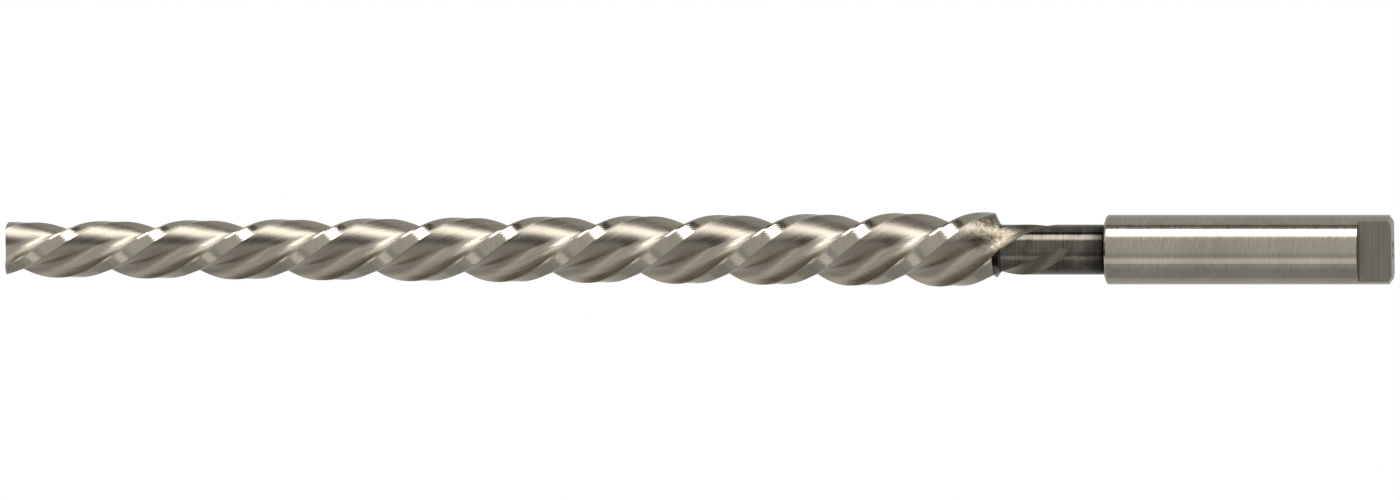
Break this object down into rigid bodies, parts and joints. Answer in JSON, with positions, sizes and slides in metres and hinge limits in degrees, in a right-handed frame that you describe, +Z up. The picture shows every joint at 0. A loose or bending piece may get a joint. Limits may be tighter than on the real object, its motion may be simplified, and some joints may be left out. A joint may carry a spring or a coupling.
{
  "type": "machine taper pin reamer",
  "caption": "Solid tapered machine reamer with left-hand quick-spiral flutes, a turned neck and a straight shank with a flat driving tang.",
  "frame": {"origin": "on the surface that the reamer lies on, below the middle of its length and its axis", "axes": "+X along the axis towards the driving tang, +Z up, -Y the side seen from the front"},
  "size_m": [0.25, 0.0133, 0.0133],
  "materials": {
    "high_speed_steel": "ground high-speed steel, with a dark oxide neck"
  },
  "bodies": {
    "root": {"reamer": "high_speed_steel"}
  },
  "joints": []
}
